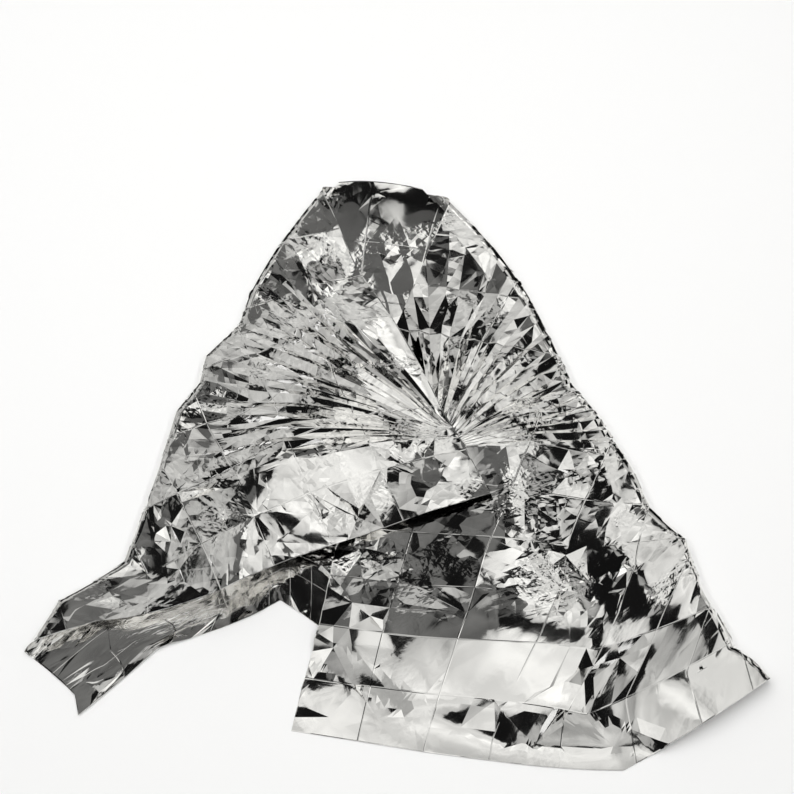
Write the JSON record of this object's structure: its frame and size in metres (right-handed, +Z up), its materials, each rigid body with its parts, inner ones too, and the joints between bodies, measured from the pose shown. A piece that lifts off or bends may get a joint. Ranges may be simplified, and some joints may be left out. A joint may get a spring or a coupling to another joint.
{
  "type": "emergency foil blanket",
  "caption": "Silver metallised-film survival blanket laid on its back as a cape, both halves folded across the front over a spread back.",
  "frame": {"origin": "under the middle of the sheet's outline, on the surface that it lies on", "axes": "+Z up from the surface, +Y towards the neck edge, +X towards the side of the under panel"},
  "size_m": [1.4449, 1.2371, 0.1144],
  "materials": {
    "silver_film": "bright metallised film, silver on both faces"
  },
  "bodies": {
    "root": {"blanket": "silver_film"}
  },
  "joints": []
}
